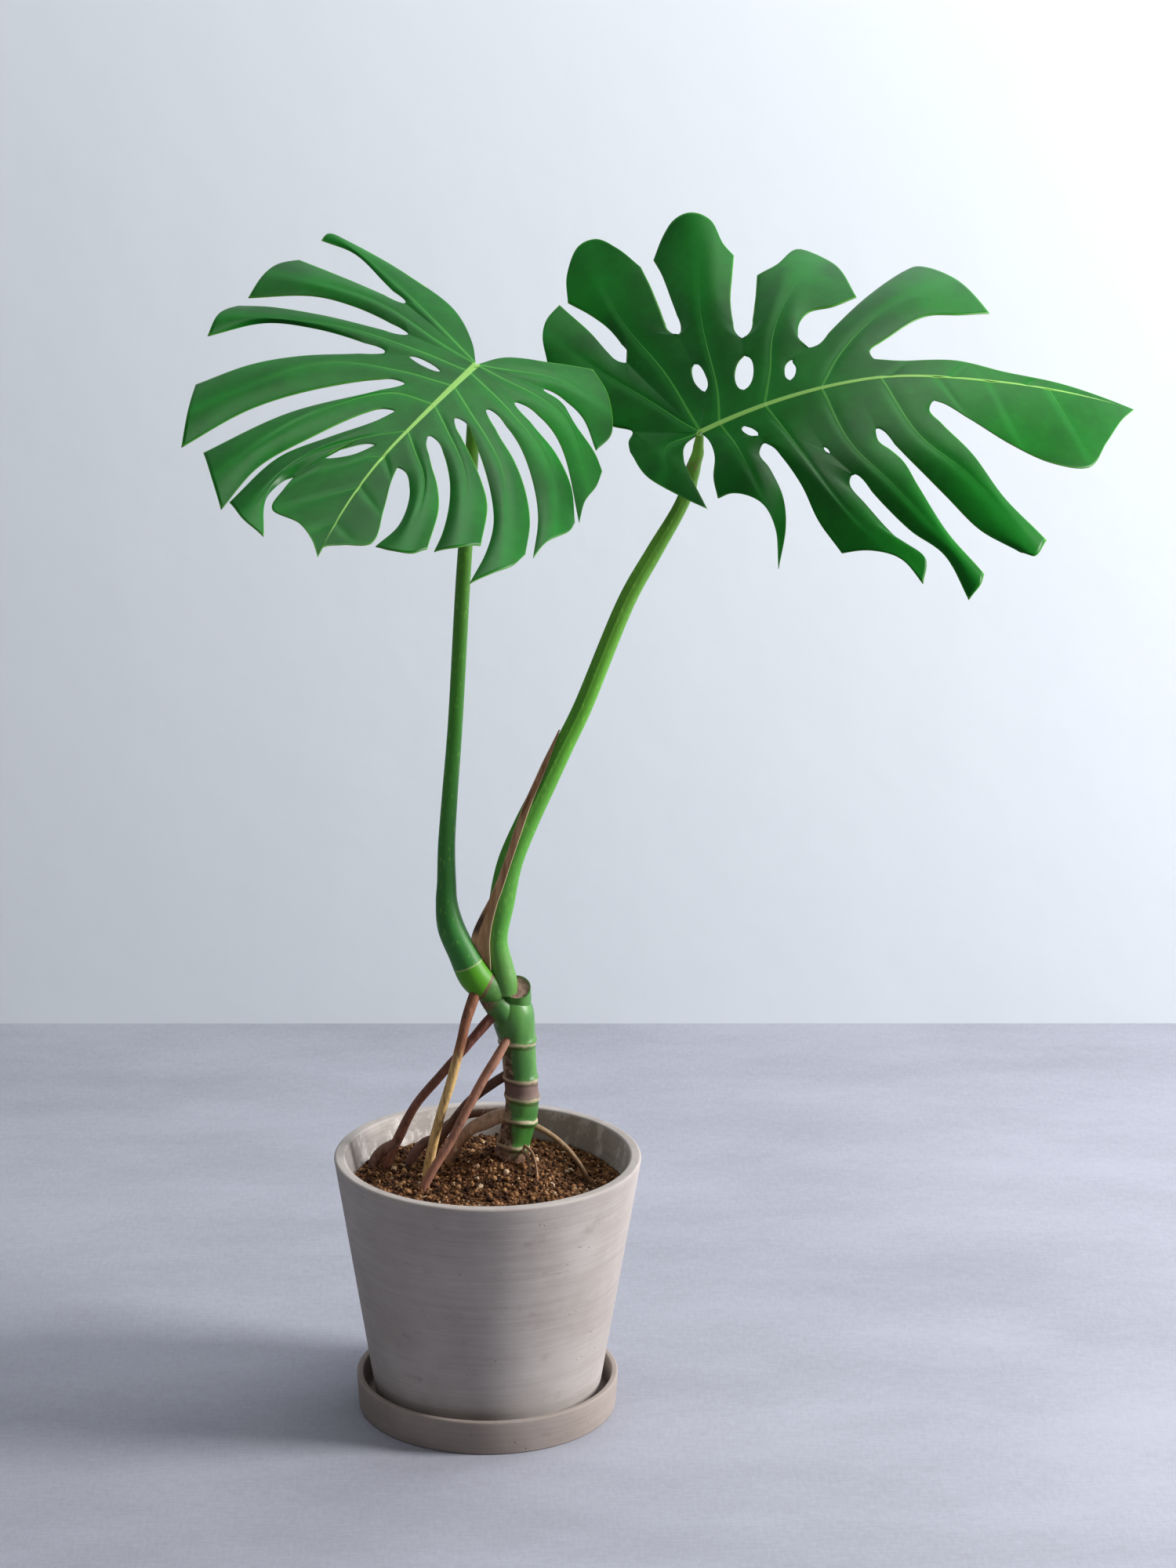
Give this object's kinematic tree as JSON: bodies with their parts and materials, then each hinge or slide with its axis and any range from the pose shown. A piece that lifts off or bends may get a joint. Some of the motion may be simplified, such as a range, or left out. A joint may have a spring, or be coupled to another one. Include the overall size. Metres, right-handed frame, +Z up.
{
  "type": "potted monstera plant",
  "caption": "Young monstera with large split leaves on long stalks and aerial roots down its stem, in a tapered clay-grey pot standing on a matching saucer",
  "frame": {"origin": "centre of the saucer's underside, on the axis of the pot and saucer", "axes": "+Z up out of the pot; +X to the right of the plant's face, the way the right leaf points; -Y towards the viewer, the side that the leaves face"},
  "size_m": [0.884, 0.4471, 1.1533],
  "materials": {
    "pot_clay": "matt mineral surface with brushed level streaks and faint chalky marks",
    "saucer_clay": "matt mineral surface, a little browner than the pot",
    "potting_mix": "crumbly dark brown mix with pale grains",
    "stem_bark": "green and tan skin with brown rings and corky roots",
    "stalk_green": "smooth, slightly waxy green skin",
    "dry_sheath": "dry, papery, torn at the foot",
    "leaf_green": "thick waxy leaf, soft sheen, pale raised veins"
  },
  "bodies": {
    "root": {"saucer": "saucer_clay", "pot": "pot_clay", "soil": "potting_mix", "stem": "stem_bark", "left_stalk": "stalk_green", "right_stalk": "stalk_green", "dry_sheath": "dry_sheath", "left_leaf": "leaf_green", "right_leaf": "leaf_green"}
  },
  "joints": []
}
